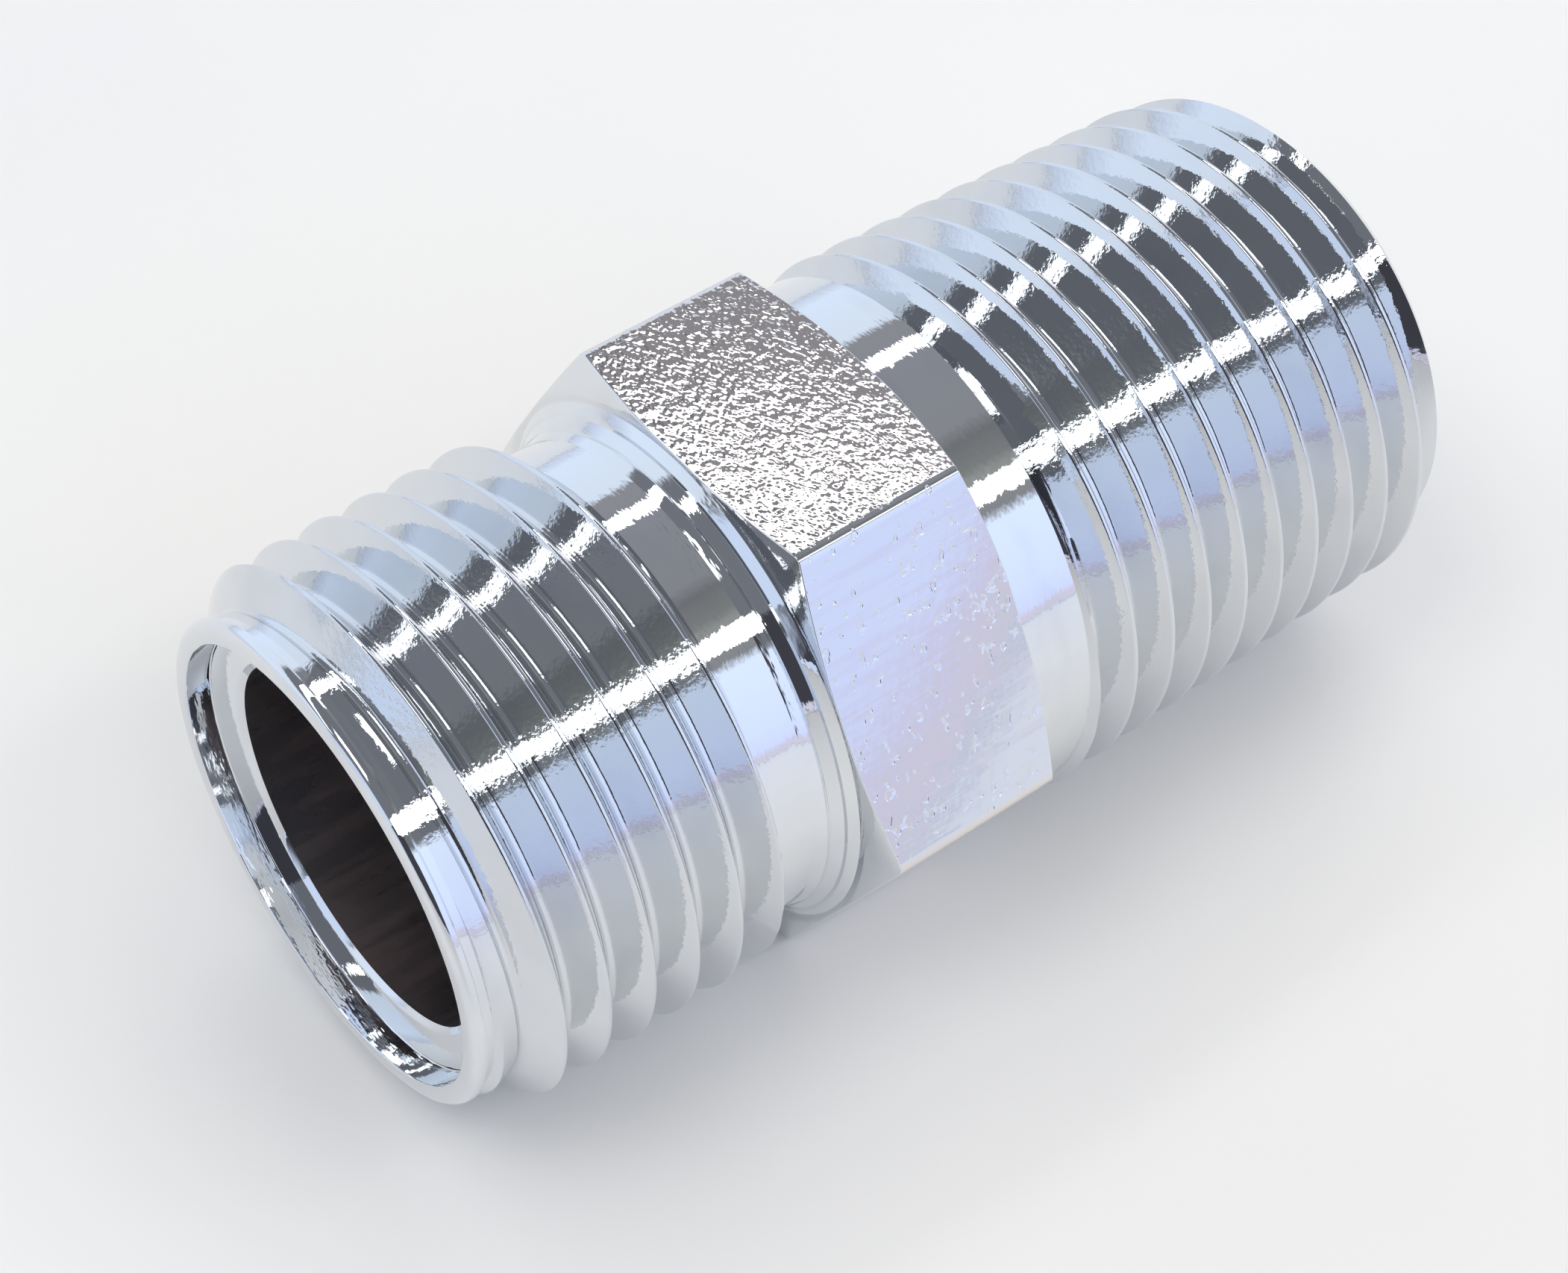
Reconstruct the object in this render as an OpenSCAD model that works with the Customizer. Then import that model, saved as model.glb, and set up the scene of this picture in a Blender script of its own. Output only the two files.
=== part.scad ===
// Hex nipple: one turned and chrome plated brass fitting with a hexagon between two male pipe threads.
// The axis of the fitting is X. The origin lies on the axis, in the middle of the hexagon's thickness.
// The nose end with the parallel thread points to -X, the end with the taper thread points to +X,
// and one pair of hexagon flats is level, so +Z is square to the upper flat.
// All sizes are in millimetres.

/* [Hexagon] */
// Distance across the flats, the spanner size
hex_af = 21; // [21:0.1:24]
// Thickness of the hexagon from face to face
hex_t = 7.8; // [6:0.1:12]
// Radius along the hexagon's corners, as the bar is drawn
hex_corner_round = 0.45; // [0.2:0.05:0.8]
// Angle of the corner chamfer on the nose side, measured from the face
near_corner_angle = 15; // [10:1:25]
// Angle of the corner chamfer on the taper thread side
far_corner_angle = 22; // [10:1:25]

/* [Bore] */
// Diameter of the straight waterway
bore_d = 14; // [10:0.1:14.6]
// Diameter of the counterbore in the nose end
counterbore_d = 17; // [16:0.1:17.2]
// Depth of the counterbore's wall
counterbore_depth = 1.0; // [0.6:0.1:1.6]

/* [Pipe thread] */
// Threads in 25.4 mm of length
threads_per_inch = 14; // [14]
// Major diameter of the parallel thread, and of the taper thread in its gauge plane
major_d = 20.955; // [20.655:0.05:20.955]
// Radius along the thread's crests
crest_round = 0.11; // [0.08:0.01:0.25]
// Radius along the thread's roots
root_round = 0.24; // [0.15:0.01:0.25]
// Facets in one turn of the thread
turn_facets = 36; // [24:12:36]

/* [Nose end] */
// Length from the hexagon face to the end face
near_len = 15.2; // [14:0.1:17]
// Diameter of the rounded rim around the end face
rim_d = 18.7; // [18.3:0.1:18.9]
// Diameter of the plain nose behind the rim
nose_d = 18.2; // [18:0.1:18.3]
// Diameter of the smooth neck between thread and hexagon
near_neck_d = 18.7; // [18.7:0.1:19]

/* [Taper thread end] */
// Length from the hexagon face to the end face
far_len = 20.8; // [18:0.1:23]
// Distance of the gauge plane from the end face
gauge_len = 10; // [6.4:0.1:10]
// Diameter of the smooth neck between hexagon and thread
far_neck_d = 20.8; // [20:0.1:20.8]
// Length of that neck
far_neck_len = 2.5; // [1.5:0.1:4]

/* [Hidden] */
$fn = 96;

half_t = hex_t / 2;
near_x = -half_t - near_len;         // nose end face
far_x = half_t + far_len;            // taper end face
corner_face_r = hex_af / 2 + 0.05;   // circle that the corner chamfers leave on the hexagon's faces
hex_corner_r = hex_af / 2 / cos(30);

// Whitworth thread form: flanks 55 degrees apart, and a sharp V whose crest and root are rounded off
pitch = 25.4 / threads_per_inch;
flank_angle = 27.5;
thread_depth = pitch / 2 / tan(flank_angle) - (crest_round + root_round) * (1 / sin(flank_angle) - 1);
major_r = major_d / 2;
taper = 1 / 32;                      // radius lost for each millimetre of length: 1:16 on the diameter
gauge_x = far_x - gauge_len;

// nose
rim_r = rim_d / 2;
rim_round = 0.35;
rim_w = 0.4;
rim_slope_w = 0.15;
nose_r = nose_d / 2;
nose_w = 0.85;                       // end face to the foot of the thread's lead chamfer
lead_x = near_x + nose_w;

// near neck and the three small turned rings that step up to the hexagon, as [back from the face, radius]
neck_r = near_neck_d / 2;
shoulder = [[1.15, 0], [0.78, 0.18], [0.75, 0.10], [0.69, 0.20], [0.32, 0.50], [0.28, 0.62], [0, 0.95]];
shoulder_r = neck_r + shoulder[len(shoulder) - 1][1];
runout_x = -half_t - 2.95;           // the near thread runs out here
runout_w = 0.45;

// far neck and taper thread
far_neck_r = far_neck_d / 2;
far_start_x = half_t + far_neck_len;
end_chamfer = 0.95;
step_in = 0.04;                      // the faceted thread starts and stops this far below the necks
buried = 0.3;                        // and reaches this far into them
hex_joint_x = half_t - 1;            // inside the hexagon, where the shoulder's radius meets the far neck's

// where the crests cross the +Y side, at angle 0
near_crest_x = near_x + 1.85;
far_crest_x = far_start_x + 1.1;

// inside
core_r = 8.7;                        // solid metal under both threads
bore_r = bore_d / 2;
counterbore_r = counterbore_d / 2;
seat_r = bore_r + 0.2;
seat_depth = 0.25;
bore_edge = 0.2;
cut_over = 1;

function clamp(v, low, high) = min(high, max(low, v));

// One pitch of the thread's section, as [distance from the crest's middle, depth below the crest]
crest_arc_x = crest_round * cos(flank_angle);
crest_arc_depth = crest_round * (1 - sin(flank_angle));
root_arc_x = root_round * cos(flank_angle);
root_arc_depth = root_round * (1 - sin(flank_angle));
crest_mid = 28;                      // a point this many degrees round the crest on each side
crest_mid_x = crest_round * sin(crest_mid);
crest_mid_depth = crest_round * (1 - cos(crest_mid));
section = [
    [-pitch / 2, thread_depth],
    [-pitch / 2 + root_arc_x, thread_depth - root_arc_depth],
    [-crest_arc_x, crest_arc_depth],
    [-crest_mid_x, crest_mid_depth],
    [crest_mid_x, crest_mid_depth],
    [crest_arc_x, crest_arc_depth],
    [pitch / 2 - root_arc_x, thread_depth - root_arc_depth],
    [pitch / 2, thread_depth]];
section_points = len(section) - 1;   // the last one belongs to the next pitch

// Depth of the thread at position x, on a line where a crest stands at crest_x
function depth_at(x, crest_x) = let (turns = (x - crest_x) / pitch)
    lookup(pitch * (turns - round(turns)), section);

// Radius of the parallel thread: lead chamfer, thread, run-out into the neck
function near_radius(x, crest_x) = min(
    major_r - depth_at(x, crest_x),
    nose_r - step_in + x - lead_x,
    neck_r - step_in + (runout_x - x) * (major_r - neck_r) / runout_w);

// Radius of the taper thread: it grows out of the neck on the left and ends in the end chamfer
function far_crest_r(x) = major_r + (gauge_x - x) * taper;
function far_radius(x, crest_x) = let (in = x - far_start_x) min(
    far_crest_r(far_x) - end_chamfer + far_x - x,
    x < far_start_x ? far_neck_r - step_in + in
        : clamp(far_crest_r(x) - depth_at(x, crest_x), far_neck_r - step_in - in, far_neck_r - step_in + in));

// A solid rod from x0 to x1 with a right-hand thread. kind 0 is the parallel thread, 1 the taper thread.
// Every column of points stands at one angle; its points sit on the section's corners, so the facets follow
// the helix, and corners beyond the ends are drawn back onto the ends.
module threaded_rod(kind, x0, x1, crest_x) {
    low = floor((x0 - crest_x) / pitch) - 1;
    rows = (ceil((x1 - crest_x) / pitch) + 1 - low) * section_points;
    function line_x(i) = crest_x + pitch * i / turn_facets;
    function row_x(i, j) = line_x(i) + pitch * (low + floor(j / section_points))
        + section[j % section_points][0];
    points = [for (i = [0:turn_facets - 1], j = [0:rows - 1])
        let (x = clamp(row_x(i, j), x0, x1),
             r = kind == 0 ? near_radius(x, line_x(i)) : far_radius(x, line_x(i)),
             a = 360 * i / turn_facets)
        [x, r * cos(a), r * sin(a)]];
    // the last corner of each column that lies on the near end, and the first that lies on the far end
    first_row = [for (i = [0:turn_facets - 1]) len([for (j = [0:rows - 1]) if (row_x(i, j) <= x0) j]) - 1];
    last_row = [for (i = [0:turn_facets - 1]) len([for (j = [0:rows - 1]) if (row_x(i, j) < x1) j])];
    // the column after the last is the first one, a whole pitch further along
    function at(i, j) = i < turn_facets
        ? i * rows + clamp(j, first_row[i], last_row[i])
        : clamp(j + section_points, first_row[0], last_row[0]);
    function apart(t) = t[0] != t[1] && t[1] != t[2] && t[2] != t[0];
    sides = [for (i = [0:turn_facets - 1], j = [0:rows - 1], t = [
        [at(i, j), at(i, j + 1), at(i + 1, j)],
        [at(i + 1, j), at(i, j + 1), at(i + 1, j + 1)]]) if (apart(t)) t];
    first_end = [for (i = [0:turn_facets - 1]) at(i, 0)];
    last_end = [for (i = [turn_facets - 1:-1:0]) at(i, rows - 1)];
    polyhedron(points, concat(sides, [first_end, last_end]));
}

// Turns a section drawn as [position on the axis, radius] about the X axis
module turned() {
    rotate([0, 90, 0]) rotate([0, 0, 180]) rotate_extrude() mirror([1, -1]) children();
}

// Everything smooth and round outside: nose with its rim, the core, both necks and the stepped shoulder
module turned_body() {
    turned() polygon(concat(
        [[near_x, 0], [near_x, rim_r - rim_round]],
        [for (a = [15:15:90]) [near_x + rim_round * (1 - cos(a)), rim_r - rim_round * (1 - sin(a))]],
        [[near_x + rim_w, rim_r], [near_x + rim_w + rim_slope_w, nose_r],
         [lead_x, nose_r], [lead_x, core_r], [runout_x, core_r], [runout_x, neck_r]],
        [for (p = shoulder) [-half_t - p[0], neck_r + p[1]]],
        [[hex_joint_x, shoulder_r], [hex_joint_x, far_neck_r],
         [far_start_x, far_neck_r], [far_start_x, core_r], [far_x, core_r], [far_x, 0]]));
}

// Hexagon with flats up and down and rounded corners, which a flat cone cuts back on each face
module hexagon() {
    reach = hex_corner_r - corner_face_r;
    round_centre_r = hex_corner_r - hex_corner_round / cos(30);
    outline = [for (corner = [0:60:300], a = [corner - 30:15:corner + 30])
        [round_centre_r * cos(corner) + hex_corner_round * cos(a),
         round_centre_r * sin(corner) + hex_corner_round * sin(a)]];
    intersection() {
        translate([-half_t, 0, 0]) rotate([0, 90, 0]) rotate([0, 0, 90])
            linear_extrude(hex_t) polygon(outline);
        turned() polygon([
            [-half_t, 0], [-half_t, corner_face_r],
            [-half_t + 2 * reach * tan(near_corner_angle), corner_face_r + 2 * reach],
            [half_t - 2 * reach * tan(far_corner_angle), corner_face_r + 2 * reach],
            [half_t, corner_face_r], [half_t, 0]]);
    }
}

// The waterway: counterbore, seat, and the straight bore with a small chamfer at each end
module waterway() {
    floor_x = near_x + counterbore_depth;
    seat_x = floor_x + seat_depth;
    turned() polygon([
        [near_x - cut_over, 0], [near_x - cut_over, counterbore_r], [near_x, counterbore_r],
        [floor_x, counterbore_r], [seat_x, seat_r], [seat_x + bore_edge, bore_r],
        [far_x - bore_edge, bore_r], [far_x, seat_r], [far_x + cut_over, seat_r], [far_x + cut_over, 0]]);
}

module nipple_body() {
    color([0.80, 0.82, 0.85]) difference() {
        union() {
            turned_body();
            hexagon();
            threaded_rod(0, lead_x - buried, runout_x + buried, near_crest_x);
            threaded_rod(1, far_start_x - buried, far_x, far_crest_x);
        }
        waterway();
    }
}

nipple_body();
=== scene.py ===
"""Looks of the hex nipple: one turned and chrome plated brass fitting, on a pale floor in soft studio light.

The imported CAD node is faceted, so the fitting is built again here as one smooth surface with the same sizes.
Lengths in the sizes block and in the profile functions are millimetres, and become metres in add_strip.
A profile is a list of [position on the axis, radius] in one plane through the axis, which is X.
"""

import math

import bmesh
import bpy
from mathutils import Matrix, Vector


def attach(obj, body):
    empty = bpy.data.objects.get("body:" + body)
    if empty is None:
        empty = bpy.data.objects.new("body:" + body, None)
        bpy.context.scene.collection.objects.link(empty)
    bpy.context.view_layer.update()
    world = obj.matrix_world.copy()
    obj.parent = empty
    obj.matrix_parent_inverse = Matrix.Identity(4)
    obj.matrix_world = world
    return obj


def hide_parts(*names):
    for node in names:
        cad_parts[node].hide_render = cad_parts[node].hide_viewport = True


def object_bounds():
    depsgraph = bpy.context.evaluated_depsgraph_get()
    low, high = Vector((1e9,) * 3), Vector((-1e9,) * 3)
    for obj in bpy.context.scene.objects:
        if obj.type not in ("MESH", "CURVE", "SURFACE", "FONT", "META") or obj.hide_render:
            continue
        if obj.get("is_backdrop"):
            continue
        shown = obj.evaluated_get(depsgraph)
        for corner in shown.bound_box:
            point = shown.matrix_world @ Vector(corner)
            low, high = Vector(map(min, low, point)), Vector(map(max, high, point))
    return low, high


MM = 0.001

# Sizes, the same as in the CAD model
HEX_FLATS = 21.0
HEX_THICK = 7.8
NEAR_CHAMFER = 15.0          # degrees from the face
FAR_CHAMFER = 22.0
CORNER_FACE_R = HEX_FLATS / 2 + 0.05
CORNER_ROUND = 0.45          # the drawn bar's own corner radius
EDGE_ROUND = 0.06            # what polishing leaves on a machined edge
HALF_T = HEX_THICK / 2

BORE_R = 7.0
COUNTERBORE_R = 8.5
COUNTERBORE_DEPTH = 1.0
SEAT_R = BORE_R + 0.2
SEAT_DEPTH = 0.25
BORE_EDGE = 0.2
SEAT_ROUND = 0.07            # edges inside the counterbore

PITCH = 25.4 / 14
MAJOR_R = 20.955 / 2
FLANK_ANGLE = 27.5
CREST_ROUND = 0.11
ROOT_ROUND = 0.24
ARC = 90 - FLANK_ANGLE       # half the arc of a rounded crest or root, in degrees
TAPER = 1 / 32

NEAR_X = -HALF_T - 15.2
RIM_R = 9.35
RIM_ROUND = 0.35
RIM_W = 0.4
RIM_SLOPE_W = 0.15
NOSE_R = 9.1
LEAD_X = NEAR_X + 0.85
NEAR_CREST_X = NEAR_X + 1.85
NECK_R = 9.35
RUNOUT_X = -HALF_T - 2.95
RUNOUT_W = 0.45
SHOULDER = [(1.15, 0), (0.78, 0.18), (0.75, 0.10), (0.69, 0.20), (0.32, 0.50), (0.28, 0.62), (0, 0.95)]

FAR_X = HALF_T + 20.8
GAUGE_X = FAR_X - 10
FAR_NECK_R = 10.4
FAR_START_X = HALF_T + 2.5
FAR_CREST_X = FAR_START_X + 1.1
END_CHAMFER = 0.95
RING_ROUND = 0.03            # edges of the turned rings at the hexagon

# Fineness of the mesh
COLUMN_STEP = 1.5            # degrees between columns
SAME_POINT = 2e-7            # metres; points closer than this are one
SHARP_ANGLE = 28             # degrees between faces where the shading breaks


# ---------------------------------------------------------------- shape

def column_angles():
    """Angles round the axis: evenly spaced, and closer together on the hexagon's six rounded corners."""
    angles = [COLUMN_STEP * i for i in range(round(360 / COLUMN_STEP))]
    for corner in range(6):
        angles += [60 * corner + corner_arc() * k / 4 for k in range(-4, 5) if k]
    return sorted(a % 360 for a in angles)


def corner_arc():
    """Half the angle that one rounded corner of the hexagon takes, seen from the axis."""
    centre = (HEX_FLATS / 2 - CORNER_ROUND) / math.cos(math.radians(30))
    half = math.radians(30)
    return math.degrees(math.atan2(CORNER_ROUND * math.sin(half), centre + CORNER_ROUND * math.cos(half)))


def hex_radius(angle):
    """Radius of the hexagon's side at an angle. Its corners stand at 0, 60, 120 degrees and so on."""
    off = abs((angle + 30) % 60 - 30)
    if off > corner_arc():
        return HEX_FLATS / 2 / math.cos(math.radians(30 - off))
    centre = (HEX_FLATS / 2 - CORNER_ROUND) / math.cos(math.radians(30))
    across = centre * math.sin(math.radians(off))
    return centre * math.cos(math.radians(off)) + math.sqrt(CORNER_ROUND ** 2 - across ** 2)


def hex_edge(angle, chamfer):
    """Edge of the hexagon at one face, as (distance from the face, radius): face, chamfer cone, flat, with
    both edges rounded."""
    side_r = hex_radius(angle) - EDGE_ROUND
    slope = math.radians(chamfer)
    first_r = CORNER_FACE_R + EDGE_ROUND * (math.cos(slope) - 1) / math.sin(slope)
    if first_r < side_r:
        face_corner = (EDGE_ROUND, first_r)
        side_corner = (EDGE_ROUND + (side_r - first_r) * math.tan(slope), side_r)
    else:
        face_corner = side_corner = (EDGE_ROUND, side_r)
    points = []
    for corner, start, end in ((face_corner, 180, 180 - chamfer), (side_corner, 180 - chamfer, 90)):
        for k in range(5):
            way = math.radians(start + (end - start) * k / 4)
            points.append((corner[0] + EDGE_ROUND * math.cos(way), corner[1] + EDGE_ROUND * math.sin(way)))
    return points


def rounded(points, radius, steps=3):
    """The same profile with every inner corner rounded to a radius, or less where its sides are short."""
    result = [points[0]]
    for before, corner, after in zip(points, points[1:], points[2:]):
        p, back, ahead = Vector(corner), Vector(before) - Vector(corner), Vector(after) - Vector(corner)
        half = back.angle(ahead) / 2
        reach = min(radius / math.tan(half), back.length * 0.45, ahead.length * 0.45)
        centre = p + (back.normalized() + ahead.normalized()).normalized() * (reach / math.cos(half))
        start, end = p + back.normalized() * reach - centre, p + ahead.normalized() * reach - centre
        turn = start.angle_signed(end)
        for k in range(steps + 1):
            result.append(tuple(centre + Matrix.Rotation(-turn * k / steps, 2) @ start))
    return result + [points[-1]]


def full_depth():
    """Depth from crest to root: the sharp V of the flanks, less what the two roundings take off its tips."""
    flank = math.radians(FLANK_ANGLE)
    return PITCH / 2 / math.tan(flank) - (CREST_ROUND + ROOT_ROUND) * (1 / math.sin(flank) - 1)


def thread_depth(x, crest_x):
    """Depth of the 55 degree thread under its crests, along a line where a crest stands at crest_x."""
    turns = (x - crest_x) / PITCH
    off = abs(turns - round(turns)) * PITCH
    reach, flank = math.sin(math.radians(ARC)), math.radians(FLANK_ANGLE)
    if off < CREST_ROUND * reach:
        return CREST_ROUND - math.sqrt(CREST_ROUND ** 2 - off ** 2)
    if off > PITCH / 2 - ROOT_ROUND * reach:
        return full_depth() - ROOT_ROUND + math.sqrt(ROOT_ROUND ** 2 - (PITCH / 2 - off) ** 2)
    return CREST_ROUND * (1 - math.sin(flank)) + (off - CREST_ROUND * reach) / math.tan(flank)


def near_radius(x, crest_x):
    """Radius of the parallel thread, with its lead chamfer on the left and its run-out on the right."""
    thread = min(MAJOR_R - thread_depth(x, crest_x),
                 NOSE_R + x - LEAD_X,
                 NECK_R + (RUNOUT_X - x) * (MAJOR_R - NECK_R) / RUNOUT_W)
    return max(thread, NECK_R - (RUNOUT_X - x))


def far_radius(x, crest_x):
    """Radius of the taper thread, which grows out of the neck on the left and ends in the end chamfer."""
    inside = x - FAR_START_X
    thread = MAJOR_R + (GAUGE_X - x) * TAPER - thread_depth(x, crest_x)
    thread = min(max(thread, FAR_NECK_R - inside), FAR_NECK_R + inside)
    return min(thread, MAJOR_R + (GAUGE_X - FAR_X) * TAPER - END_CHAMFER + FAR_X - x)


def crest_offsets():
    """Rows of one pitch of the thread: their distances from the crest's middle."""
    arc = [math.sin(math.radians(ARC * k / 3)) for k in range(4)]
    half = [CREST_ROUND * s for s in arc] + [PITCH / 2 - ROOT_ROUND * s for s in reversed(arc)]
    return [-o for o in reversed(half[1:-1])] + half


def thread_profile(radius_at, angle, x0, x1, first_crest):
    """One column of a thread: its rows follow the helix and stop at x0 and x1."""
    crest_x = first_crest + PITCH * angle / 360
    first = math.floor((x0 - first_crest) / PITCH) - 1
    last = math.ceil((x1 - first_crest) / PITCH) + 1
    xs = [min(x1, max(x0, crest_x + PITCH * n + o)) for n in range(first, last) for o in crest_offsets()]
    return [(x, radius_at(x, crest_x)) for x in xs]


def nose_profile():
    """From the near thread over the rim, through the counterbore and its seat, to the bore."""
    floor_x = NEAR_X + COUNTERBORE_DEPTH
    outside = [(LEAD_X, NOSE_R), (NEAR_X + RIM_W + RIM_SLOPE_W, NOSE_R), (NEAR_X + RIM_W, RIM_R)]
    ways = [math.radians(a) for a in range(80, -1, -10)]
    rim = [(NEAR_X + RIM_ROUND * (1 - math.cos(w)), RIM_R - RIM_ROUND * (1 - math.sin(w))) for w in ways]
    seat_x = floor_x + SEAT_DEPTH
    inside = [(NEAR_X, COUNTERBORE_R), (floor_x, COUNTERBORE_R), (seat_x, SEAT_R),
              (seat_x + BORE_EDGE, BORE_R)]
    return outside + rim + rounded([rim[-1]] + inside, SEAT_ROUND)[1:]


def bore_profile():
    """The straight wall of the bore, between its two edge chamfers."""
    return [(NEAR_X + COUNTERBORE_DEPTH + SEAT_DEPTH + BORE_EDGE, BORE_R), (FAR_X - BORE_EDGE, BORE_R)]


def neck_profile():
    """From the near thread's run-out along the neck and up the turned rings to the hexagon's face."""
    rings = [(-HALF_T - back, NECK_R + up) for back, up in SHOULDER]
    return rounded([(RUNOUT_X, NECK_R)] + rings, RING_ROUND)


def add_strip(bm, columns, material, climb=0):
    """Adds the surface between columns of points. columns is a list of (angle, profile) once round the axis,
    and material an index, or a function that gives it from the angle. A thread climbs by that many rows in
    one turn, so its last column meets the first one that much further along."""
    rings = []
    for angle, profile in columns:
        c, s = math.cos(math.radians(angle)), math.sin(math.radians(angle))
        rings.append([bm.verts.new((x * MM, r * c * MM, r * s * MM)) for x, r in profile])
    top = rings[0][-1]
    rings.append(rings[0][climb:] + [top] * climb)
    for (angle, _), a, b in zip(columns, rings, rings[1:]):
        for k in range(len(a) - 1):
            if b[k] == b[k + 1]:
                continue
            face = bm.faces.new((a[k], b[k], b[k + 1], a[k + 1]))
            face.material_index = material(angle) if callable(material) else material
            face.smooth = True


def build_nipple(materials):
    """The whole fitting as one closed mesh. materials are in the order of the names on the next line."""
    nose, bore, thread, neck, face, flat_coarse, flat_fine = range(7)
    angles = column_angles()
    shoulder_r = NECK_R + SHOULDER[-1][1]
    climb = len(crest_offsets())
    bm = bmesh.new()

    def same(profile):
        return [(a, profile) for a in angles]

    # every other flat gets the warm-tinted coarse material and the rest the blue-tinted fine one; both tints
    # are painted reflections
    def flat(angle):
        return flat_coarse if (angle + corner_arc() + 0.01) // 60 % 2 == 1 else flat_fine

    add_strip(bm, same(nose_profile()), nose)
    add_strip(bm, same(bore_profile()), bore)
    near_thread = [(a, thread_profile(near_radius, a, LEAD_X, RUNOUT_X, NEAR_CREST_X)) for a in angles]
    add_strip(bm, near_thread, thread, climb)
    add_strip(bm, same(neck_profile()), neck)
    near_edges = [(a, [(d - HALF_T, r) for d, r in hex_edge(a, NEAR_CHAMFER)]) for a in angles]
    far_edges = [(a, [(HALF_T - d, r) for d, r in reversed(hex_edge(a, FAR_CHAMFER))]) for a in angles]
    add_strip(bm, [(a, [(-HALF_T, shoulder_r)] + p) for a, p in near_edges], face)
    add_strip(bm, [(a, [p[-1], q[0]]) for (a, p), (_, q) in zip(near_edges, far_edges)], flat)
    add_strip(bm, [(a, p + [(HALF_T, FAR_NECK_R)]) for a, p in far_edges], face)
    add_strip(bm, same([(HALF_T, FAR_NECK_R), (FAR_START_X, FAR_NECK_R)]), neck)
    far_thread = [(a, thread_profile(far_radius, a, FAR_START_X, FAR_X, FAR_CREST_X)) for a in angles]
    add_strip(bm, far_thread, thread, climb)
    ends = [(a, far_radius(FAR_X, FAR_CREST_X + PITCH * a / 360)) for a in angles]
    add_strip(bm, [(a, [(FAR_X, r), (FAR_X, SEAT_R), (FAR_X - BORE_EDGE, BORE_R)]) for a, r in ends], nose)

    bmesh.ops.remove_doubles(bm, verts=bm.verts, dist=SAME_POINT)
    bmesh.ops.recalc_face_normals(bm, faces=bm.faces)
    mesh = bpy.data.meshes.new("nipple")
    bm.to_mesh(mesh)
    bm.free()
    mesh.set_sharp_from_angle(angle=math.radians(SHARP_ANGLE))
    for material in materials:
        mesh.materials.append(material)
    piece = bpy.data.objects.new("nipple", mesh)
    bpy.context.collection.objects.link(piece)
    return piece


# ---------------------------------------------------------------- camera

def add_camera():
    """The camera looks down on the nose end from the left, 122 mm away."""
    azimuth, elevation, roll = math.radians(-38.786), math.radians(48.970), math.radians(-1.260)
    distance, target = 122.0, Vector((-0.171, -1.265, 0.0))
    back = Vector((math.sin(azimuth) * math.cos(elevation), -math.cos(azimuth) * math.cos(elevation),
                   math.sin(elevation)))
    data = bpy.data.cameras.new("camera")
    data.sensor_fit, data.sensor_width, data.lens = "HORIZONTAL", 36.0, 77.83
    data.clip_start, data.clip_end = 0.005, 10
    camera = bpy.data.objects.new("camera", data)
    right = (-back).cross(Vector((0, 0, 1))).normalized()
    up = right.cross(-back)
    turned_right = right * math.cos(roll) - up * math.sin(roll)
    turned_up = up * math.cos(roll) + right * math.sin(roll)
    axes = Matrix((turned_right, turned_up, back)).transposed().to_4x4()
    camera.matrix_world = Matrix.Translation((target + back * distance) * MM) @ axes
    bpy.context.collection.objects.link(camera)
    bpy.context.scene.camera = camera


# ---------------------------------------------------------------- materials

class Nodes:
    """Short ways to add shader nodes to one material or world."""

    def __init__(self, owner):
        owner.use_nodes = True
        self.tree = owner.node_tree

    def add(self, kind, inputs=(), **settings):
        node = self.tree.nodes.new("ShaderNode" + kind)
        for name, value in settings.items():
            setattr(node, name, value)
        for name, value in dict(inputs).items():
            if isinstance(value, bpy.types.NodeSocket):
                self.tree.links.new(value, node.inputs[name])
            else:
                node.inputs[name].default_value = value
        return node

    def math(self, operation, a, b=0.0):
        return self.add("Math", {0: a, 1: b}, operation=operation).outputs[0]

    def noise(self, place, size, detail=2.0, stretch=(1, 1, 1)):
        """Noise with features about size metres wide; stretch below 1 draws them out along that axis."""
        scaled = self.add("Mapping", {"Vector": place, "Scale": [k / size for k in stretch]})
        return self.add("TexNoise", {"Vector": scaled.outputs[0], "Scale": 1.0, "Detail": detail}).outputs[0]

    def spread(self, value, low, high, to_low=0.0, to_high=1.0):
        """Maps low..high smoothly onto to_low..to_high."""
        inputs = {"Value": value, "From Min": low, "From Max": high, "To Min": to_low, "To Max": to_high}
        return self.add("MapRange", inputs, interpolation_type="SMOOTHSTEP").outputs[0]

    def mix(self, factor, a, b):
        node = self.add("Mix", data_type="RGBA")
        for index, value in ((0, factor), (6, a), (7, b)):
            if isinstance(value, bpy.types.NodeSocket):
                self.tree.links.new(value, node.inputs[index])
            else:
                node.inputs[index].default_value = value
        return node.outputs[2]

    def bump(self, height, depth, under=None):
        """Relief of that depth in metres, on top of another relief."""
        inputs = {"Height": height, "Distance": depth, "Strength": 1.0}
        if under is not None:
            inputs["Normal"] = under
        return self.add("Bump", inputs).outputs[0]


CHROME = (0.76, 0.78, 0.80, 1)
CHROME_DULL = (0.70, 0.72, 0.75, 1)


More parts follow.
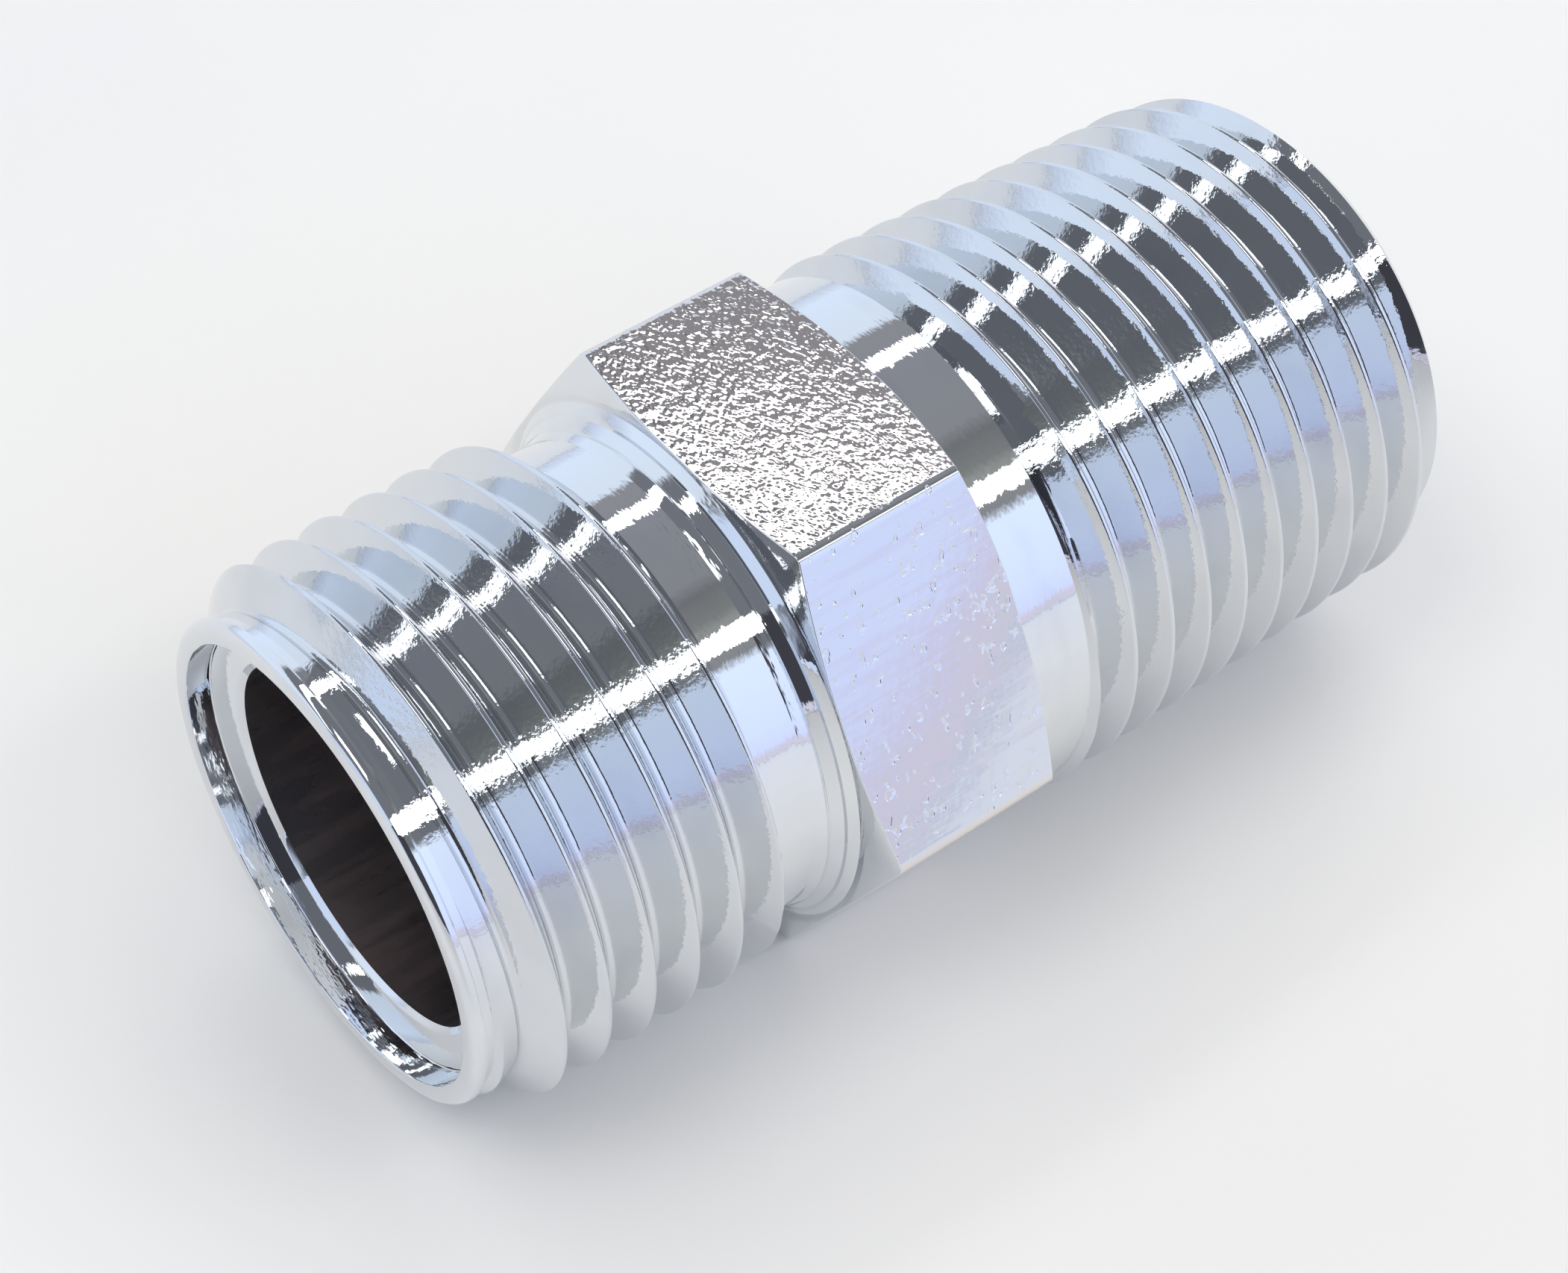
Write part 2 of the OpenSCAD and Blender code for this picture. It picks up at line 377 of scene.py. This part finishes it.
def metal(name, relief, colour=CHROME, worn=CHROME_DULL, rough=(0.02, 0.07)):
    """A plated metal. relief(nodes, place) returns the normal and a 0..1 map of the duller, rougher spots."""
    material = bpy.data.materials.new(name)
    nodes = Nodes(material)
    place = nodes.add("TexCoord").outputs["Object"]
    normal, dull = relief(nodes, place)
    shader = nodes.tree.nodes["Principled BSDF"]
    shader.inputs["Metallic"].default_value = 1
    nodes.tree.links.new(nodes.mix(dull, colour, worn), shader.inputs["Base Color"])
    nodes.tree.links.new(nodes.spread(dull, 0, 1, *rough), shader.inputs["Roughness"])
    nodes.tree.links.new(normal, shader.inputs["Normal"])
    return material


def turned_relief(rings, grain):
    """Turned and plated: feed rings of that depth round the axis, and a fine grain in the plate."""
    def relief(nodes, place):
        feed = nodes.noise(place, 0.00013, 1.0, (1, 0.25, 0.25))
        patches = nodes.spread(nodes.noise(place, 0.0016, 3.0, (1, 0.5, 0.5)), 0.35, 0.7, 0.3, 1.0)
        low = nodes.bump(nodes.math("MULTIPLY", feed, patches), rings)
        plate = nodes.bump(nodes.noise(place, 0.00022, 2.0), grain, low)
        smears = nodes.noise(place, 0.003, 4.0, (1.6, 0.6, 0.6))
        return plate, nodes.spread(smears, 0.45, 0.75)
    return relief


def drawn_relief(blobs, depth, lines, pits):
    """A drawn flat: an orange-peel skin with blobs that wide, drawn lines along the bar and small pits."""
    def relief(nodes, place):
        low = nodes.bump(nodes.noise(place, 0.00018, 2.0, (0.04, 1, 1)), lines)
        skin = nodes.bump(nodes.noise(place, blobs, 1.0, (1, 0.55, 0.55)), depth, low)
        holes = nodes.spread(nodes.noise(place, 0.00035, 1.0, (1, 0.7, 0.7)), 0.30, 0.38)
        top = nodes.bump(holes, pits, skin)
        scratches = nodes.noise(place, 0.0004, 3.0, (0.05, 1, 1))
        return top, nodes.spread(scratches, 0.45, 0.8)
    return relief


def bored_relief(nodes, place):
    """Inside the bore: boring marks, and a thin uneven plate that lets the brass show through in stains."""
    marks = nodes.bump(nodes.noise(place, 0.0003, 2.0, (0.15, 1, 1)), 4e-6)
    streaks = nodes.noise(place, 0.0006, 2.0, (0.08, 1, 1))
    stains = nodes.noise(place, 0.005, 2.0, (0.5, 1, 1))
    dull = nodes.math("ADD", nodes.spread(stains, 0.3, 0.75, 0.0, 0.7),
                      nodes.spread(streaks, 0.3, 0.7, 0.0, 0.3))
    return marks, dull


def build_materials():
    """In the order of build_nipple: nose, bore, thread, neck, face, coarse flats, fine flats."""
    return [
        metal("chrome_nose", turned_relief(4e-6, 1.5e-6)),
        metal("bore_satin", bored_relief, (0.56, 0.56, 0.58, 1), (0.36, 0.27, 0.26, 1), (0.22, 0.4)),
        # the thread's colour is a darker copy of the chrome colour: painted shade for its grooves
        metal("chrome_thread", turned_relief(4e-6, 6e-6), (0.71, 0.73, 0.75, 1), (0.66, 0.68, 0.71, 1)),
        metal("chrome_neck", turned_relief(9e-6, 1e-6)),
        metal("chrome_face", turned_relief(2e-6, 2e-6), rough=(0.05, 0.14)),
        # besides their different relief, these two flat materials carry a warm and a blue tint: painted
        # reflections of the room, one for each set of flats
        metal("chrome_flat_coarse", drawn_relief(0.00021, 3.6e-5, 5e-7, 4e-6),
              (0.76, 0.73, 0.71, 1), (0.72, 0.68, 0.66, 1), (0.03, 0.08)),
        metal("chrome_flat_fine", drawn_relief(0.00035, 4e-6, 1.2e-6, 2.2e-5),
              (0.71, 0.73, 0.76, 1), (0.70, 0.69, 0.73, 1), (0.06, 0.16)),
    ]


# ---------------------------------------------------------------- floor and light

def add_floor(z):
    """A pale table top, slightly worn."""
    mesh = bpy.data.meshes.new("floor")
    half = 1.5
    corners = [(-half, -half, z), (half, -half, z), (half, half, z), (-half, half, z)]
    mesh.from_pydata(corners, [], [(0, 1, 2, 3)])
    floor = bpy.data.objects.new("floor", mesh)
    material = bpy.data.materials.new("floor")
    nodes = Nodes(material)
    place = nodes.add("TexCoord").outputs["Object"]
    clouds = nodes.noise(place, 0.03, 3.0)
    shader = nodes.tree.nodes["Principled BSDF"]
    colour = nodes.mix(nodes.spread(clouds, 0.35, 0.65), (0.88, 0.87, 0.84, 1), (0.86, 0.855, 0.835, 1))
    nodes.tree.links.new(colour, shader.inputs["Base Color"])
    shader.inputs["Roughness"].default_value = 0.35
    mesh.materials.append(material)
    bpy.context.collection.objects.link(floor)
    floor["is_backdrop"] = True


def add_room():
    """A room whose tone depends on the direction round the X axis: pale wall, dim ceiling, pale wall."""
    world = bpy.data.worlds.new("room")
    bpy.context.scene.world = world
    nodes = Nodes(world)
    split = nodes.add("SeparateXYZ", {0: nodes.add("TexCoord").outputs["Generated"]}).outputs
    angle = nodes.math("ARCTAN2", split["Z"], split["Y"])
    ramp = nodes.add("ValToRGB", {0: nodes.math("DIVIDE", angle, math.pi)})
    stops = [  # degrees from the horizon at the back, over the ceiling, to the horizon at the front
        (0, (0.70, 0.78, 0.95, 1)), (8, (0.88, 1.0, 1.2, 1)), (39, (0.86, 0.96, 1.1, 1)),
        (42, (0.33, 0.33, 0.36, 1)), (70, (0.30, 0.31, 0.35, 1)), (97, (0.30, 0.31, 0.33, 1)),
        (104, (0.20, 0.21, 0.22, 1)), (115, (0.25, 0.26, 0.26, 1)), (120, (0.36, 0.37, 0.36, 1)),
        (134, (0.30, 0.31, 0.33, 1)), (138, (0.95, 1.08, 1.32, 1)), (167, (0.88, 1.0, 1.32, 1)),
        (176, (0.84, 0.92, 1.25, 1)), (178.2, (0.80, 0.76, 0.96, 1)), (179.5, (0.84, 0.78, 0.88, 1))]
    elements = ramp.color_ramp.elements
    while len(elements) < len(stops):
        elements.new(0.5)
    for element, (degrees, colour) in zip(elements, stops):
        element.position, element.color = degrees / 180, colour
    # the ceiling is a little darker on the nose side, but for one bright panel
    ceiling = nodes.math("MULTIPLY", nodes.spread(split["Z"], 0.30, 0.36),
                         near_to(nodes, angle, math.radians(89), math.radians(45), math.radians(50)))
    dim = nodes.math("MULTIPLY", ceiling, nodes.spread(split["X"], 0.25, 0.33, 1.0, 0.0))
    toned = nodes.mix(dim, ramp.outputs[0], (0.20, 0.21, 0.24, 1))
    panel = nodes.math("MULTIPLY",
                       near_to(nodes, angle, math.radians(89), math.radians(11), math.radians(14)),
                       near_to(nodes, split["X"], -0.47, 0.14, 0.18))
    toned = nodes.mix(panel, toned, (3, 3, 3, 1))
    # somebody in dark clothes stands at the front, on the nose side
    person = nodes.math("MULTIPLY",
                        near_to(nodes, angle, math.radians(151), math.radians(25), math.radians(28)),
                        near_to(nodes, split["X"], -0.66, 0.29, 0.36))
    toned = nodes.mix(person, toned, (0.06, 0.06, 0.075, 1))
    # and the walls at the two ends are pale too
    ends = nodes.math("MULTIPLY", nodes.spread(nodes.math("ABSOLUTE", split["X"]), 0.88, 0.92),
                      nodes.math("SUBTRACT", 1.0, person))
    colour = nodes.mix(ends, toned, (0.75, 0.87, 1.1, 1))
    nodes.tree.links.new(colour, nodes.tree.nodes["Background"].inputs["Color"])


def near_to(nodes, value, middle, inner, outer):
    """1 where a value lies within inner of the middle, and 0 beyond outer."""
    return nodes.spread(nodes.math("ABSOLUTE", nodes.math("SUBTRACT", value, middle)), inner, outer, 1.0, 0.0)


def add_strip_light(name, degrees, width_degrees, glow):
    """A long soft strip light parallel to X, at an angle from the back horizon, 0.8 m from the object."""
    distance, length = 0.8, 2.4
    data = bpy.data.lights.new(name, "AREA")
    data.shape, data.size = "RECTANGLE", length
    data.size_y = 2 * distance * math.tan(math.radians(width_degrees / 2))
    data.energy = glow * math.pi * data.size * data.size_y
    light = bpy.data.objects.new(name, data)
    way = Vector((0, math.cos(math.radians(degrees)), math.sin(math.radians(degrees))))
    side = Vector((1, 0, 0))
    axes = Matrix((side, way.cross(side), way)).transposed().to_4x4()
    light.matrix_world = Matrix.Translation(way * distance) @ axes
    bpy.context.collection.objects.link(light)


def add_fill_light(glow):
    """A large soft light overhead that only fills the shadows and doesn't show in the chrome."""
    data = bpy.data.lights.new("fill", "AREA")
    data.shape, data.size = "SQUARE", 1.6
    data.energy = glow * math.pi * data.size ** 2
    data.color = (1.0, 0.95, 0.88)
    light = bpy.data.objects.new("fill", data)
    light.location = (0.1, -0.3, 1.0)
    light.visible_glossy = False
    bpy.context.collection.objects.link(light)


# ---------------------------------------------------------------- the scene

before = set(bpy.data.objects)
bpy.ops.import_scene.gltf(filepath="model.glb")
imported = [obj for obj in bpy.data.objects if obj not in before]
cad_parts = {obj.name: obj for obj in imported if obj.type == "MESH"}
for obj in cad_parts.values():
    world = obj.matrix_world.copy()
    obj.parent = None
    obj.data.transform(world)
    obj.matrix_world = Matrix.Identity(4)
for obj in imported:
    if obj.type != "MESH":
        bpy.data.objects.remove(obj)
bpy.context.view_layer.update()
nipple = build_nipple(build_materials())
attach(nipple, "root")
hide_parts("nipple_body")
add_floor(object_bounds()[0].z)
add_camera()
add_room()
add_strip_light("back_strip", 57, 7.5, 2.0)
add_strip_light("front_strip", 125.5, 9, 2.3)
add_fill_light(0.80)
bpy.context.scene.view_settings.view_transform = "Standard"
